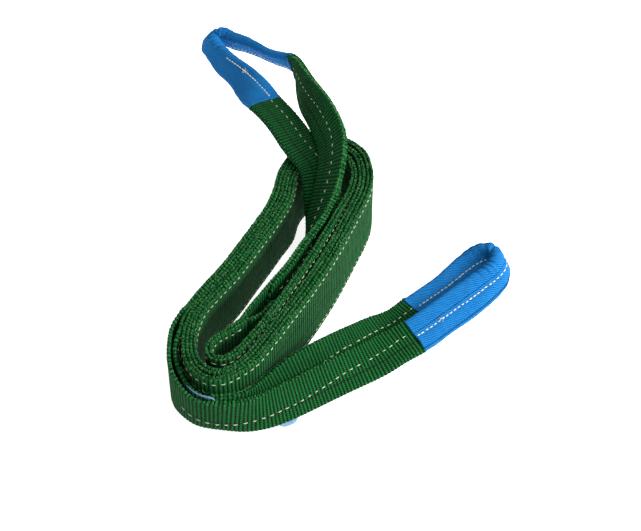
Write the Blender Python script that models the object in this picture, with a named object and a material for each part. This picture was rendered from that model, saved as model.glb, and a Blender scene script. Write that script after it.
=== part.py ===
"""Flat web sling, 60 mm two-ply polyester webbing, lying coiled on its edge.

The body of the sling is two plies of webbing sewn face to face.  It is wound up on its
edge: three turns pass on the left side and four on the right.  At each end the plies part
and run on as the two legs of a soft eye; each leg is folded lengthwise to half its width
and a wear sleeve is wrapped round the tip of the eye.

+Z is up and the table is z = 0; left is -X, right +X, near -Y and far +Y.
All lengths below are millimetres; the mesh is made in metres.
"""
import math

import bmesh
import bpy
import numpy as np

MM = 0.001

# ------------------------------------------------------------------ driving dimensions
WEB_WIDTH = 60.0
PLY = 2.6                   # thickness of one ply
PLY_GAP = 0.42              # between two plies that lie on each other
DOUBLE = 2 * PLY + PLY_GAP  # thickness of the two-ply body
FOLD = 30.0                 # height of the half that is folded up in an eye leg
LEAST_FOLD = 3.4            # lowest fold that a section is made with
SLEEVE_FABRIC = 0.75
SLEEVE_GAP = 0.3            # sleeve to webbing
THREAD_RADIUS = 0.45
HINGE_GAP = 2.6             # half of the gap left in the webbing at a bending line

# ply thickness, gap and scale across the width of the folded webbing
LEG_SECTION = dict(ply=PLY - 0.3, gap=PLY_GAP + 0.6, squash=1.0)
TIP_SECTION = dict(ply=1.3, gap=0.9, squash=0.9)

BODY_SEAM_GAP = 0.35        # thread to webbing
BODY_SEAM_HEIGHT = 25.5     # above and below mid height
EYE_SEAM_GAP = 0.8
OUTER_PLY_START = 19.5      # the outer ply starts this far along the body

# Path sampling: the curves are cut evenly, then thinned out where they run straight.
SAMPLE_STEP = 0.5
SAMPLES_PER_ROW = 60        # spline evaluations before the even cut
CHORD_ERROR = 0.1
SHORTEST_STEP = 1.2
LONGEST_BODY_STEP = 12.0
LONGEST_EYE_STEP = 10.0
SHORTEST_LAST_STEP = 0.6
SMOOTHING = 13              # samples the curvature is averaged over

# ------------------------------------------------------------------ paths
# Centre line of the body: x, y and how far it is lifted, from the outer throat inwards: up
# the left side, over the far end, down the right side, round the near end, and so on to the
# hairpin and the inner throat.
BODY = [
    # first left pass, outermost
    (-110.6, -115.5, 0), (-109.2, -106.5, 0), (-105, -93.5, 0), (-97.2, -77, 0),
    (-80.4, -52.3, 0), (-64, -23.5, 0), (-51.8, -0.8, 0), (-43.8, 15, 0), (-37, 31, 0),
    # far end and right side, outermost
    (-34, 46, 0), (-29.5, 60, 0), (-20, 75, 0), (-6, 86.5, 0), (10, 91, 0), (25, 86, 0),
    (36, 74, 0), (40.6, 57, 0), (40, 37, 0), (29.3, 6, 0), (10.5, -38.5, 0), (-11.5, -80.5, 0),
    (-37.4, -124.4, 0),
    # near end and second left pass
    (-50.3, -144, 0), (-58.8, -152.2, 0), (-68, -158.8, 0), (-78, -162.3, 0), (-88, -160.2, 0),
    (-96, -153.6, 0), (-101, -145, 0), (-103.6, -135, 0), (-103.9, -117, 0), (-99.4, -97, 0),
    (-92, -80, 0), (-75, -55.2, 0), (-58.9, -26.3, 0), (-46.5, -3.6, 0), (-38.4, 12.2, 0),
    (-31.2, 28.5, 0),
    # far end and second right pass
    (-28.2, 45, 0), (-23.3, 57.5, 0), (-14.6, 68.6, 0), (-3, 78.5, 0), (9, 83, 0), (21, 79.6, 0),
    (30, 70, 0), (34, 55.5, 0), (33.5, 38, 0), (23.2, 8.3, 0), (4.8, -35.3, 0),
    (-17.2, -77.2, 0), (-43, -121, 0),
    # near end and innermost left pass
    (-56, -140.3, 0), (-67, -151, 0), (-79, -154.8, 0), (-88, -151.8, 0), (-94.5, -144.5, 0),
    (-97.6, -134, 0), (-97.9, -117, 0), (-94, -99, 0), (-87, -83, 0), (-70, -58, 0),
    (-53.7, -29, 0), (-41.2, -6.3, 0), (-33, 9.6, 0), (-25.6, 26.2, 0),
    # far end and third right pass
    (-22.5, 42, 0), (-17.8, 53.5, 0), (-10.2, 63, 0), (0, 71, 0), (9, 74.6, 0), (17.6, 72, 0),
    (24.4, 64, 0), (27.4, 53, 0), (26.5, 38, 0.5), (16.6, 11, 2), (-1.6, -31.4, 4),
    (-23.4, -73.4, 3.6), (-49.2, -117, 2.6),
    # hairpin, then the short fourth pass up to the inner throat
    (-61.5, -134, 2.2), (-70.5, -143, 2.2), (-79.5, -144.3, 2.2), (-85.3, -138, 2.2),
    (-84, -128.5, 2.2), (-76, -120.5, 2.2), (-65.5, -112.6, 2.2), (-56.5, -103.5, 2.2),
]

# Eye loops: centre of the folded webbing, direction of its width (from the fold towards the
# selvages) and height of the folded-up half.  An eighth number, where given, says which edge
# keeps level while the height changes: 1 the selvages, -1 the fold.
# near leg, from the outer throat round the near end of the coil and away from it
NEAR_LEG = [
    (-111.2, -99.6, 30.8, 0, 0, 1, 3.6), (-114.1, -107.6, 30.8, 0, 0, 1, 3.6),
    (-116.3, -117, 30.8, 0, 0, 1, 3.6), (-116.9, -129, 30.8, 0, 0, 1, 4),
    (-116.0, -140.5, 30.8, 0, 0, 1, 8), (-112.3, -152, 30.8, 0, 0, 1, 14),
    (-105.5, -162.7, 30.8, 0, 0, 1, 22), (-94.6, -172.2, 30.8, 0, 0.02, 1, 27),
    (-79, -176.2, 30.6, 0, 0.06, 1, FOLD), (-64, -175.4, 29.6, -0.03, 0.15, 1, FOLD),
    (-48, -170.2, 27, -0.12, 0.36, 0.93, FOLD), (-34, -161.9, 24, -0.22, 0.5, 0.84, FOLD),
    (-17, -150.2, 21, -0.32, 0.54, 0.77, FOLD), (2, -136.6, 18.3, -0.36, 0.58, 0.74, FOLD),
    (23, -122, 15.8, -0.44, 0.64, 0.62, FOLD), (45, -107.3, 13.4, -0.52, 0.73, 0.42, FOLD),
    (61, -95.6, 12.6, -0.6, 0.77, 0.2, FOLD),
]
# The far leg runs behind the near leg: how far behind, and how far it is shifted up along
# the width, for the rows of NEAR_LEG from FAR_LEG_FIRST on.
FAR_LEG_FIRST = 2
BEHIND = [(6.5, 0), (6.5, 0), (6.5, 0), (6.6, 0), (6.8, 0), (6.9, 0), (7.3, 0), (8, 1),
          (8.1, 3.5), (7.6, 8), (7.2, 13.5), (7, 16), (7, 17), (7.6, 18.5), (8.2, 20.5)]
# tip of the outer eye, lying on the table: along the eye, across it, height, width direction
TIP_ALONG = (0.76, 0.65)
OUTER_TIP = [
    (3, -114.6, 12.9, 0, 0.99, 0.13), (28, -115, 12.8, 0, 0.99, 0.12),
    (55, -115, 12.8, 0, 0.99, 0.12), (76, -114.6, 13, 0, 0.97, 0.22),
    (90, -113.4, 13.7, -0.06, 0.86, 0.5), (102, -110.6, 15.7, -0.2, 0.62, 0.74),
    (110, -105.4, 17.3, -0.3, 0.3, 0.88), (113, -99.4, 17.7, -0.34, 0.16, 0.92),
    (109.8, -94.0, 16.2, -0.3, 0.34, 0.88), (101, -91.6, 12.7, -0.2, 0.7, 0.64),
    (89, -92.0, 7.9, -0.06, 0.93, 0.3), (76, -93.3, 5.3, 0, 0.99, 0.08),
    (55, -94, 4.6, 0, 1, 0.02), (28, -92.2, 4.6, 0, 1, 0.03), (3, -92.8, 5.3, 0, 1, 0.1),
]
# right leg of the inner eye, from the inner throat up over the far end of the coil; tip; and
# left leg, back under the right leg and down to the throat
INNER_EYE = [
    (-57.4, -100.2, 35.8, 0, 0, 1, 3.6, 1), (-51.8, -93.2, 40.0, 0, 0, 1, 12, 1),
    (-45.2, -83.2, 44.5, 0, 0, 1, 21, 1), (-38.6, -72.6, 49.0, 0, 0, 1, FOLD, 1),
    (-30.4, -60.6, 49, 0, 0, 1, FOLD), (-20.6, -44.4, 49.2, 0, 0, 1, FOLD),
    (-13.2, -29, 49.8, 0.04, -0.02, 1, FOLD), (-7.8, -14, 52.6, 0.25, -0.13, 0.96, FOLD),
    (-3, 1, 57.5, 0.5, -0.24, 0.84, FOLD), (2, 18, 63.4, 0.74, -0.28, 0.62, FOLD),
    (6, 36, 69.8, 0.92, -0.18, 0.34, FOLD), (8.2, 54, 72.4, 0.99, -0.02, 0.06, FOLD),
    (7, 72, 75.8, 0.97, 0.08, -0.04, FOLD), (3.6, 90, 76.6, 0.95, 0.1, 0.14, FOLD),
    (0.4, 108, 74.6, 0.81, 0, 0.5, FOLD), (-4.6, 127, 70.2, 0.62, -0.1, 0.72, FOLD),
    (-10.6, 147, 66, 0.44, -0.2, 0.8, FOLD),
    (-16.6, 166, 61, 0.27, -0.36, 0.86, FOLD), (-24.2, 183.5, 56, 0.02, -0.48, 0.87, FOLD),
    (-38.6, 196.1, 52, -0.1, -0.52, 0.84, FOLD), (-53.2, 210, 48, -0.12, -0.52, 0.84, FOLD),
    (-68, 223.2, 44, -0.1, -0.44, 0.88, FOLD), (-80, 232, 41, -0.02, -0.32, 0.94, FOLD),
    (-89.5, 235.6, 39.4, 0.08, -0.2, 0.97, FOLD), (-97, 232.6, 38.6, 0.16, -0.08, 0.98, FOLD),
    (-99.2, 225, 39, 0.24, 0.02, 0.97, FOLD), (-95.2, 213.4, 41, 0.42, 0.12, 0.9, FOLD),
    (-86, 199.5, 44, 0.6, 0.26, 0.74, FOLD), (-71.8, 177.4, 49.5, 0.78, 0.4, 0.46, FOLD),
    (-59.2, 153.2, 55.5, 0.86, 0.46, 0.18, FOLD),
    (-47.5, 131, 60.6, 0.87, 0.48, -0.04, FOLD), (-35.4, 110.5, 64.2, 0.87, 0.48, -0.08, FOLD),
    (-25.5, 92, 65.4, 0.87, 0.48, -0.06, FOLD), (-15, 73, 65.2, 0.88, 0.47, -0.02, FOLD),
    (-3.6, 55, 64.0, 0.93, 0.32, 0.0, FOLD), (0.6, 37, 57.4, 0.93, 0.1, 0.14, FOLD),
    (0.2, 20, 47.4, 0.8, -0.15, 0.5, FOLD), (-3.8, 4, 35, 0.5, -0.2, 0.82, FOLD),
    (-8.6, -12, 22.6, 0.2, -0.1, 0.96, FOLD), (-13.6, -30, 16.8, 0.04, -0.02, 1, FOLD),
    (-19.6, -43.6, 17, 0, 0, 1, FOLD), (-25.8, -58, 17.4, 0, 0, 1, FOLD),
    (-32.0, -72.8, 17.6, 0, 0, 1, FOLD, -1), (-39.4, -85.6, 22.1, 0, 0, 1, 21, -1),
    (-46.6, -96.2, 26.6, 0, 0, 1, 12, -1), (-53.0, -104.2, 30.8, 0, 0, 1, 3.6, -1),
]

# Places on the paths
BODY_SEAM_ENDS = (-97.2, -77), (-44, -134.5)
LINING_SEAM_MARK = (-22.5, 42)
LINING_SEAM_BEFORE = 230, 8          # the seam's start and end, measured back from its mark
INNER_SLEEVE_ENDS = (-22.6, 180.5, 56), (-47.5, 130, 61)

# Bending lines: a point on each, and the normal of the plane that parts the webbing there
CENTRE = (21.3, 30.7)                # middle of the lying sling in plan
SWING = (9.5, -147.5, 15.0)          # upright bending line of the outer eye
SWING_DIR = (0.80, 0.60, 0.0)
LIFT = (64.0, -79.0, 21.0)           # level bending line of the outer eye, by the sleeve
LIFT_DIR = (*TIP_ALONG, 0.0)
CREST = (-14.0, 101.5, 77.5)         # level bending line of the inner eye, past the coil
CREST_DIR = (-0.30, 0.954, 0.0)


# ------------------------------------------------------------------ path geometry
def unit(v):
    v = np.asarray(v, float)
    return v / np.maximum(np.sqrt((v ** 2).sum(-1, keepdims=True)), 1e-12)


def lerp(start, end, part):
    return start + (end - start) * part


def length_along(points):
    steps = np.sqrt(((points[1:, :3] - points[:-1, :3]) ** 2).sum(1))
    return np.concatenate([[0.0], np.cumsum(steps)])


def nearest(points, target):
    return int(((points - np.array(target)) ** 2).sum(1).argmin())


def spline(control):
    """Natural cubic spline through the control rows, resampled evenly along its length."""
    rows = np.array(control, float)
    n = len(rows)
    # knots spaced by distance to the power 0.7
    chords = ((rows[1:, :3] - rows[:-1, :3]) ** 2).sum(1) ** 0.35
    knots = np.concatenate([[0.0], np.cumsum(chords)])
    gaps = np.diff(knots)
    system = np.zeros((n, n))
    target = np.zeros_like(rows)
    system[0, 0] = system[-1, -1] = 1.0
    for i in range(1, n - 1):
        before, after = gaps[i - 1], gaps[i]
        system[i, i - 1:i + 2] = before, 2 * (before + after), after
        target[i] = 6 * ((rows[i + 1] - rows[i]) / after - (rows[i] - rows[i - 1]) / before)
    second = np.linalg.solve(system, target)    # second derivatives at the knots

    at = np.linspace(0, knots[-1], SAMPLES_PER_ROW * n)
    k = np.clip(np.searchsorted(knots, at, side="right") - 1, 0, n - 2)
    gap = gaps[k][:, None]
    low = (knots[k + 1] - at)[:, None] / gap
    high = (at - knots[k])[:, None] / gap
    bend = (low ** 3 - low) * second[k] + (high ** 3 - high) * second[k + 1]
    curve = low * rows[k] + high * rows[k + 1] + bend * gap ** 2 / 6

    along = length_along(curve)
    even = np.linspace(0, along[-1], int(round(along[-1] / SAMPLE_STEP)) + 1)
    return np.stack([np.interp(even, along, column) for column in curve.T], 1)


def stations(points, tangent, longest):
    """Indices along a fine path, close together where it bends and far apart where not."""
    along = length_along(points)
    turn = np.sqrt(((tangent[1:] - tangent[:-1]) ** 2).sum(1)) / (along[1] - along[0])
    pad = SMOOTHING // 2
    turn = np.convolve(np.pad(turn, pad, mode="edge"), np.ones(SMOOTHING) / SMOOTHING,
                       mode="same")[pad:-pad]
    wanted = np.clip(np.sqrt(8 * CHORD_ERROR / np.maximum(turn, 1e-6)), SHORTEST_STEP, longest)
    kept, last = [0], 0.0
    for i in range(1, len(wanted)):
        if along[i] - last >= wanted[i]:
            kept.append(i)
            last = along[i]
    if along[-1] - along[kept[-1]] < SHORTEST_LAST_STEP and len(kept) > 1:
        kept.pop()
    kept.append(len(points) - 1)
    return kept


# ------------------------------------------------------------------ cross-sections
def folded_height(fold):
    """Width over all of webbing with a strip of height fold turned up."""
    return WEB_WIDTH - fold + DOUBLE - math.pi * (PLY_GAP + PLY) / 2


def folded_section(fold, ply, gap, squash):
    """Outline (outward, across) of webbing folded lengthwise, across running from the fold
    to the selvage; the folded-up half is on the inward side."""
    face = ply + gap / 2
    inside = gap / 2
    top = folded_height(fold) / 2
    bottom = -top
    points = [(face, top), (face, top - 10), (face, top - 20), (face, bottom + face)]
    for k in range(1, 4):
        angle = -math.pi * k / 4
        points.append((face * math.cos(angle), bottom + face + face * math.sin(angle)))
    points += [(-face, bottom + face), (-face, bottom + fold * 0.5), (-face, bottom + fold),
               (-inside, bottom + fold), (-inside, bottom + face), (0, bottom + face - inside),
               (inside, bottom + face), (inside, top)]
    return [(outward, across * squash) for outward, across in points]


def sleeve_section(half_thick, half_wide, corner):
    """Rectangle with rounded corners and two extra points on each long side."""
    extra = 5
    x, y = half_thick - corner, half_wide - corner
    points = []
    for quarter, (cx, cy) in enumerate([(x, y), (-x, y), (-x, -y), (x, -y)]):
        for k in range(2):
            angle = math.pi / 2 * (quarter + (k + 0.5) / 2)
            points.append((cx + corner * math.cos(angle), cy + corner * math.sin(angle)))
        if quarter == 1:
            points += [(-half_thick, extra), (-half_thick, -extra)]
        if quarter == 3:
            points += [(half_thick, -extra), (half_thick, extra)]
    return points


# ------------------------------------------------------------------ scene and objects
for old in list(bpy.data.objects):
    bpy.data.objects.remove(old, do_unlink=True)


def collection(name):
    made = bpy.data.collections.new(name)
    bpy.context.scene.collection.children.link(made)
    return made


PARTS = collection("flat_web_sling")
GUIDES = collection("guides")


def material(name, colour, roughness):
    made = bpy.data.materials.new(name)
    made.use_nodes = True
    shader = made.node_tree.nodes["Principled BSDF"]
    shader.inputs["Base Color"].default_value = (*colour, 1)
    shader.inputs["Roughness"].default_value = roughness
    shader.inputs["Metallic"].default_value = 0.0
    return made


WEBBING = material("webbing", colour=(0.012, 0.13, 0.035), roughness=0.75)
SLEEVE = material("sleeve", colour=(0.02, 0.17, 0.55), roughness=0.65)
THREAD = material("thread", colour=(0.75, 0.75, 0.62), roughness=0.7)
LABEL = material("label", colour=(0.45, 0.68, 0.86), roughness=0.4)


def empty(name, place, parent=None):
    made = bpy.data.objects.new(name, None)
    made.location = [c * MM for c in place]
    made.parent = parent
    PARTS.objects.link(made)
    return made


# The frame's origin is under the middle of the lying sling; each joint has its own empty.
frame = empty("sling_frame", (-CENTRE[0], -CENTRE[1], 0))
swing_axis = empty("outer_eye_swing_axis", SWING, frame)
lift_axis = empty("outer_eye_lift_axis", np.subtract(LIFT, SWING), swing_axis)
crest_axis = empty("inner_eye_lift_axis", CREST, frame)
JOINTS = {
    None: (frame, (0, 0, 0)),
    "swing": (swing_axis, SWING),
    "lift": (lift_axis, LIFT),
    "crest": (crest_axis, CREST),
}


def add(name, data, surface, joint=None):
    """Link an object; one that moves hangs from the empty on its joint's axis."""
    made = bpy.data.objects.new(name, data)
    PARTS.objects.link(made)
    data.materials.append(surface)
    made.parent, place = JOINTS[joint]
    made.location = [-c * MM for c in place]


def poly_curve(name, points, dimensions="3D"):
    curve = bpy.data.curves.new(name, "CURVE")
    curve.dimensions = dimensions
    line = curve.splines.new("POLY")
    line.points.add(len(points) - 1)
    for knot, (x, y, z) in zip(line.points, points):
        knot.co = (x * MM, y * MM, z * MM, 1)
    return curve


def rectangle(name, thick, high):
    """Cross-section of a flat band, used as the profile of a curve."""
    x, y = thick / 2, high / 2
    curve = poly_curve(name, [(-x, -y, 0), (-x, y, 0), (x, y, 0), (x, -y, 0)], "2D")
    curve.splines[0].use_cyclic_u = True
    made = bpy.data.objects.new(name, curve)
    made.hide_render = True
    made.display_type = "WIRE"
    GUIDES.objects.link(made)
    return made


def band(name, points, profile):
    """A flat band of webbing standing on its edge along points."""
    curve = poly_curve(name, points)
    curve.twist_mode = "Z_UP"
    curve.bevel_mode = "OBJECT"
    curve.bevel_object = profile
    curve.use_fill_caps = True
    add(name, curve, WEBBING)


def thread(name, points, joint=None):
    curve = poly_curve(name, points)
    curve.bevel_depth = THREAD_RADIUS * MM
    curve.bevel_resolution = 0
    curve.use_fill_caps = True
    add(name, curve, THREAD, joint)


def loft(name, rings, surface, joint=None, inner=None):
    """Skin between unlike sections; with inner rings it is a tube open at both ends."""
    bm = bmesh.new()

    def bridge(ring_a, ring_b):
        n = len(ring_a)
        for j in range(n):
            k = (j + 1) % n
            bm.faces.new((ring_a[j], ring_a[k], ring_b[k], ring_b[j]))

    def skin(sections):
        made = [[bm.verts.new([c * MM for c in p]) for p in ring] for ring in sections]
        for ring, following in zip(made, made[1:]):
            bridge(ring, following)
        return made

    outside = skin(rings)
    if inner is None:
        bm.faces.new(outside[0])
        bm.faces.new(outside[-1])
    else:
        inside = skin(inner)
        for end in (0, -1):
            bridge(outside[end], inside[end])
    bmesh.ops.recalc_face_normals(bm, faces=bm.faces[:])
    if bm.calc_volume(signed=True) < 0:
        bmesh.ops.reverse_faces(bm, faces=bm.faces[:])
    mesh = bpy.data.meshes.new(name)
    bm.to_mesh(mesh)
    bm.free()
    add(name, mesh, surface, joint)


# ------------------------------------------------------------------ the two-ply body
def build_body():
    path = spline(BODY)
    plan = path[:, :2]
    tangent = unit(np.gradient(plan, axis=0))
    inward = np.stack([tangent[:, 1], -tangent[:, 0]], 1)
    level = np.zeros(len(path))
    flat_path = np.column_stack([plan, level])
    kept = stations(flat_path, np.column_stack([tangent, level]), LONGEST_BODY_STEP)
    along = length_along(flat_path)

    def line(indices, offset, rise=0.0):
        """Points at a distance inwards from the centre line and above mid height."""
        return [(*(plan[i] + inward[i] * offset), path[i, 2] + WEB_WIDTH / 2 + rise)
                for i in indices]

    def span(start, end):
        return [i for i in kept if start <= along[i] <= end]

    profile = rectangle("ply_profile", PLY, WEB_WIDTH)
    ply_offset = (PLY + PLY_GAP) / 2
    band("body_outer_ply", line(span(OUTER_PLY_START, along[-1]), -ply_offset), profile)
    band("body_inner_ply", line(kept, ply_offset), profile)

    # one pair of seams on the outside of the coil, one on the inside of the innermost turn
    outside = span(*(along[nearest(plan, end)] for end in BODY_SEAM_ENDS))
    mark = along[nearest(plan, LINING_SEAM_MARK)]
    lining = span(*(mark - before for before in LINING_SEAM_BEFORE))
    face = DOUBLE / 2 + BODY_SEAM_GAP + THREAD_RADIUS
    for name, indices, offset in (("body", outside, -face), ("lining", lining, face)):
        thread(name + "_seam_upper", line(indices, offset, BODY_SEAM_HEIGHT))
        thread(name + "_seam_lower", line(indices, offset, -BODY_SEAM_HEIGHT))


# ------------------------------------------------------------------ the eyes
class EyePath:
    """Finely sampled loop of an eye, with its width and outward directions."""

    def __init__(self, control):
        samples = spline([tuple(row) + (0,) * (8 - len(row)) for row in control])
        self.centre = samples[:, :3]
        self.fold = samples[:, 6]
        width = unit(samples[:, 3:6])
        # the tangent follows the edge that keeps level
        to_edge = folded_height(self.fold) / 2 * samples[:, 7]
        tangent = unit(np.gradient(self.centre + width * to_edge[:, None], axis=0))
        self.width = unit(width - (width * tangent).sum(1, keepdims=True) * tangent)
        self.outward = np.cross(tangent, self.width)
        self.along = length_along(self.centre)
        self.length = self.along[-1]
        self.kept = stations(self.centre, tangent, LONGEST_EYE_STEP)

    def crossings(self, point, normal):
        """Lengths at which each half of the loop first crosses a plane."""
        side = (self.centre - np.array(point)) @ np.array(normal)
        found = self.along[:-1][side[:-1] * side[1:] <= 0]
        middle = self.length / 2
        return found[found <= middle][0], found[found >= middle][0]

    def between(self, start, end):
        first = int(np.searchsorted(self.along, start))
        last = min(int(np.searchsorted(self.along, end)), len(self.along) - 1)
        return [first] + [k for k in self.kept if first + 1 < k < last - 1] + [last]

    def point(self, i, outward, across):
        return tuple(self.centre[i] + self.outward[i] * outward + self.width[i] * across)

    def ring(self, i, section):
        return [self.point(i, *p) for p in section]


def leg(name, path, start, end, joint=None, shape=LEG_SECTION):
    rings = [path.ring(i, folded_section(max(LEAST_FOLD, path.fold[i]), **shape))
             for i in path.between(start, end)]
    loft(name, rings, WEBBING, joint)


WEB_FACE = DOUBLE / 2
BORE_FACE = WEB_FACE + SLEEVE_GAP
BORE_EDGE = folded_height(FOLD) / 2 + SLEEVE_GAP
SLEEVE_FACE = BORE_FACE + SLEEVE_FABRIC
SLEEVE_EDGE = BORE_EDGE + SLEEVE_FABRIC


def sleeve(name, path, start, end, joint):
    indices = path.between(start, end)
    outside = sleeve_section(SLEEVE_FACE, SLEEVE_EDGE, corner=2.6)
    bore = sleeve_section(BORE_FACE, BORE_EDGE, corner=2.0)
    loft(name, [path.ring(i, outside) for i in indices], SLEEVE, joint,
         inner=[path.ring(i, bore) for i in indices])


def seams(path, table):
    """Rows: name, joint, start and end along the path, face sewn on (positive outward),
    place across the width at the start and at the end."""
    for name, joint, start, end, face, across_start, across_end in table:
        outward = face + math.copysign(EYE_SEAM_GAP + THREAD_RADIUS, face)
        points = []
        for i in path.between(start, end):
            part = (path.along[i] - start) / (end - start)
            points.append(path.point(i, outward, lerp(across_start, across_end, part)))
        thread(name, points, joint)


def tip_row(row):
    """A row of OUTER_TIP turned from along and across the eye to x and y."""
    ux, uy = TIP_ALONG
    along, across, z, width_along, width_across, width_z = row
    return (ux * along - uy * across, uy * along + ux * across, z,
            ux * width_along - uy * width_across, uy * width_along + ux * width_across,
            width_z, FOLD)


def far_row(row, ahead, back, up):
    """A row of the far leg: the near leg's row moved back from its face and up its width."""
    tangent = unit(ahead)
    width = unit(row[3:6])
    width = unit(width - width.dot(tangent) * tangent)
    place = np.array(row[:3]) - np.cross(tangent, width) * back + width * up
    return (*place, *width, row[6])


def outer_eye_path():
    tip = [tip_row(row) for row in OUTER_TIP]
    centres = [np.array(row[:3]) for row in NEAR_LEG + tip[:1]]
    far_leg = [far_row(NEAR_LEG[i], centres[i + 1] - centres[i - 1], back, up)
               for i, (back, up) in enumerate(BEHIND, FAR_LEG_FIRST)]
    return EyePath(NEAR_LEG + tip + far_leg[::-1])


def build_outer_eye(path):
    """Throat, bending line, sleeve, tip, sleeve, bending line, throat."""
    near_swing, far_swing = path.crossings(SWING, SWING_DIR)
    near_lift, far_lift = path.crossings(LIFT, LIFT_DIR)
    root_end, near_start = near_swing - HINGE_GAP, near_swing + HINGE_GAP
    near_end, tip_start = near_lift - HINGE_GAP, near_lift + HINGE_GAP
    tip_end, far_start = far_lift - HINGE_GAP, far_lift + HINGE_GAP
    far_end, far_root = far_swing - HINGE_GAP, far_swing + HINGE_GAP

    leg("outer_near_leg_root", path, 0, root_end)
    leg("outer_near_leg", path, near_start, near_end, "swing")
    leg("outer_tip_webbing", path, tip_start, tip_end, "lift", TIP_SECTION)
    leg("outer_far_leg", path, far_start, far_end, "swing")
    leg("outer_far_leg_root", path, far_root, path.length)
    sleeve("outer_wear_sleeve", path, tip_start + 2, tip_end - 24, "lift")
    seams(path, [
        ("outer_near_leg_seam", "swing", near_start + 1, near_end - 1, WEB_FACE, 0.5, 4),
        ("outer_near_leg_root_seam", None, 112, root_end - 1, WEB_FACE, -6.5, 0.5),
        ("outer_far_leg_seam", "swing", far_start + 1, far_end - 1, -WEB_FACE, 4, 2),
        ("outer_sleeve_near_seam", "lift", tip_start + 4, tip_start + 92, SLEEVE_FACE, 2.5, 2.5),
        ("outer_sleeve_far_seam", "lift", tip_end - 100, tip_end - 26, -SLEEVE_FACE, 3.5, 3.5),
    ])


def build_inner_eye(path):
    right_crest, left_crest = path.crossings(CREST, CREST_DIR)
    right_end, eye_start = right_crest - HINGE_GAP, right_crest + HINGE_GAP
    eye_end, left_start = left_crest - HINGE_GAP, left_crest + HINGE_GAP
    cuff_start, cuff_end = (path.along[nearest(path.centre, p)] for p in INNER_SLEEVE_ENDS)

    leg("inner_right_leg_root", path, 0, right_end)
    leg("inner_eye_webbing", path, eye_start, eye_end, "crest", TIP_SECTION)
    leg("inner_left_leg_root", path, left_start, path.length)
    sleeve("inner_wear_sleeve", path, cuff_start, cuff_end, "crest")
    seams(path, [
        ("inner_right_leg_seam", "crest", eye_start + 1, cuff_start - 3, -WEB_FACE, 3, 4),
        ("inner_left_leg_seam", "crest", cuff_end + 3, eye_end - 1, WEB_FACE, 3, 4),
        ("inner_sleeve_left_seam", "crest", cuff_end - 100, cuff_end - 3, SLEEVE_FACE, 2.5, 2.5),
        ("inner_sleeve_right_seam", "crest", cuff_start + 3, cuff_start + 80, -SLEEVE_FACE,
         -4, -4),
    ])


# ------------------------------------------------------------------ the label
LABEL_SAMPLES = range(126, 281, 7)   # samples of the outer eye path that it follows
LABEL_LENGTH = 77
LABEL_THICKNESS = 0.5
LABEL_STRIPS = 5                     # divisions across the leaf
# values at the start and at the end of the leaf
LABEL_INSET = 3.37, 4.07             # inwards from the centre of the near leg
LABEL_TOP = 23, 12                   # across the width of the leg
LABEL_BOTTOM = -22, -21


def build_label(path):
    """Label film, standing between the two legs of the outer eye."""
    rings = []
    for i in LABEL_SAMPLES:
        part = (path.along[i] - path.along[LABEL_SAMPLES[0]]) / LABEL_LENGTH
        part = part * part * (3 - 2 * part)     # ease in and out
        inset = lerp(*LABEL_INSET, part)
        top, bottom = lerp(*LABEL_TOP, part), lerp(*LABEL_BOTTOM, part)
        across = [lerp(top, bottom, k / LABEL_STRIPS) for k in range(LABEL_STRIPS + 1)]
        section = [(LABEL_THICKNESS / 2 - inset, y) for y in across]
        section += [(-LABEL_THICKNESS / 2 - inset, y) for y in across[::-1]]
        rings.append(path.ring(i, section))
    loft("label_leaf", rings, LABEL)


build_body()
outer_eye = outer_eye_path()
build_outer_eye(outer_eye)
build_inner_eye(EyePath(INNER_EYE))
build_label(outer_eye)
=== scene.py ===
"""A flat web sling: ribbed webbing, wear sleeves, stitching and label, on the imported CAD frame.

The sling lies on the table, z = 0.  Its two-ply body stands on edge, wound into a coil that runs
near (-y) to far (+y).  The outer eye passes round the near end of the coil and lies out to the
right (+x); the inner eye climbs over the far end and lies out to the far left.
The geometry is worked out in millimetres and placed in metres, with CENTRE at the origin."""
import math
from collections import namedtuple

import bpy
import numpy as np
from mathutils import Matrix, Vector, noise


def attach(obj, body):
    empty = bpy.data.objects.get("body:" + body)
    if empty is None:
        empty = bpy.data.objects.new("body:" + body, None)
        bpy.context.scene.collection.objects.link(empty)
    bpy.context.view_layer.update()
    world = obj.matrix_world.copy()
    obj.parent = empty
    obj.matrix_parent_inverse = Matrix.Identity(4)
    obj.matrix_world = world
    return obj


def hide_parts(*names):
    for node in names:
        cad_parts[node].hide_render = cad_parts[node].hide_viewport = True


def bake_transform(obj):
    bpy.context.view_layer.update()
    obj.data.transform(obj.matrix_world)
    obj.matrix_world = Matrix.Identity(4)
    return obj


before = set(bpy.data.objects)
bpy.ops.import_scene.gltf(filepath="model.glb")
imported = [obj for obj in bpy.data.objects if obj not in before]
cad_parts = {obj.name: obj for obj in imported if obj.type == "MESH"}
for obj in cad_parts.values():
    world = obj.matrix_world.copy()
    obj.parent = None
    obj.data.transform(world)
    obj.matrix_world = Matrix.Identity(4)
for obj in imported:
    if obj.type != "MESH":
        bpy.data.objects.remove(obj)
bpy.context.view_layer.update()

# ------------------------------------------------------------------ driving dimensions (mm)
MM = 0.001
CENTRE = np.array((21.3, 30.7, 0.0))  # middle of the lying sling in plan
WIDTH = 60.0                  # webbing width
PLY = 2.6                     # thickness of one ply over its ribs
PLY_GAP = 0.42                # gap between two plies that lie on each other
TWO_PLY = 2 * PLY + PLY_GAP
PLY_PITCH = PLY + PLY_GAP     # between the middles of two plies
HALF_PITCH = PLY_PITCH / 2
PLY_THIN = 2.15               # ply thickness between the ribs
RIB_PITCH = 3.1               # pitch of the cross ribs
RIB_RISE = 0.5                # how far a rib stands up
STEP = RIB_PITCH / 4          # between two cross sections
FLAP = 30.0                   # height of the half that is folded up in an eye leg
BODY_MID_Z = WIDTH / 2 + 0.1  # middle of the standing body

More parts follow.
